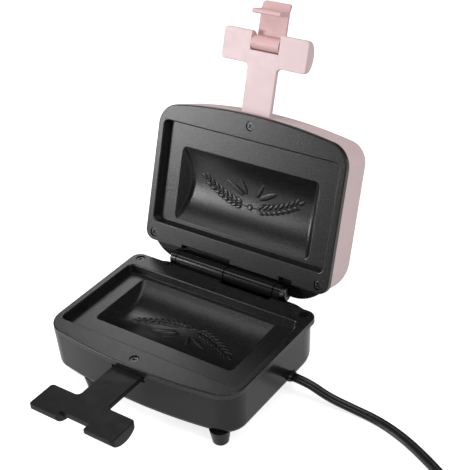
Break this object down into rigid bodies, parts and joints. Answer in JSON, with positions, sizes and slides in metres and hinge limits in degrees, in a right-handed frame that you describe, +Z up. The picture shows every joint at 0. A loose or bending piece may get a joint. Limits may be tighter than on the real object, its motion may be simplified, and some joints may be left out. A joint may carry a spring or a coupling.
{
  "type": "sandwich maker",
  "caption": "Countertop pocket sandwich maker with a pink hinged lid, black speckled plates with a sunk well, T handles joined by a swinging latch, and a flat power cord.",
  "frame": {"origin": "centre of the footprint on the table, lid open, cord left out", "axes": "+X right along the hinge, +Y to the back, +Z up"},
  "size_m": [0.3169, 0.2487, 0.2074],
  "materials": {
    "pink_housing": "satin",
    "pink_latch": "satin",
    "black_housing": "satin",
    "nonstick_plate": "speckled non-stick",
    "black_screw": "blackened",
    "steel": "plain",
    "sheet_steel": "rolled sheet",
    "heater_steel": "annealed",
    "feet_rubber": "matte",
    "white_ceramic": "glazed",
    "sleeve": "glass-fibre sleeve",
    "lens_red": "clear red",
    "lamp_glass": "clear",
    "cord_vinyl": "satin",
    "blade_brass": "plated"
  },
  "bodies": {
    "base": {"base_shell": "black_housing", "base_plate": "nonstick_plate", "base_plate_screws": "black_screw", "lower_handle": "black_housing", "lower_handle_cover": "black_housing", "foot_pads": "feet_rubber", "hinge_pin": "black_screw", "hinge_nut": "steel", "base_heater": "heater_steel", "base_heat_shield": "sheet_steel", "thermostat": "white_ceramic", "thermal_fuse": "sleeve", "terminal_block": "white_ceramic", "cord_clamp": "black_housing", "base_wiring": "sleeve", "cord_bushing": "cord_vinyl", "cord": "cord_vinyl", "cord_coil": "cord_vinyl", "plug_body": "cord_vinyl", "plug_blades": "blade_brass"},
    "lid": {"lid_shell": "pink_housing", "lid_frame": "black_housing", "lid_plate": "nonstick_plate", "lid_plate_screws": "black_screw", "upper_handle": "pink_housing", "upper_handle_cover": "pink_housing", "lid_heater": "heater_steel", "lid_heat_shield": "sheet_steel", "lid_wiring": "sleeve", "lamp_lens": "lens_red", "pilot_lamp": "lamp_glass", "latch_pin": "steel"},
    "latch": {"latch": "pink_latch"}
  },
  "joints": [
    {"name": "lid_hinge", "type": "hinge", "parent": "base", "child": "lid", "pos_m": [0, 0.04358, 0.042], "axis": [1, 0, 0], "range_deg": [0, 109]},
    {"name": "latch_hinge", "type": "hinge", "parent": "lid", "child": "latch", "pos_m": [0, 0.10218, 0.18395], "axis": [1, 0, 0], "range_deg": [0, 90]}
  ]
}
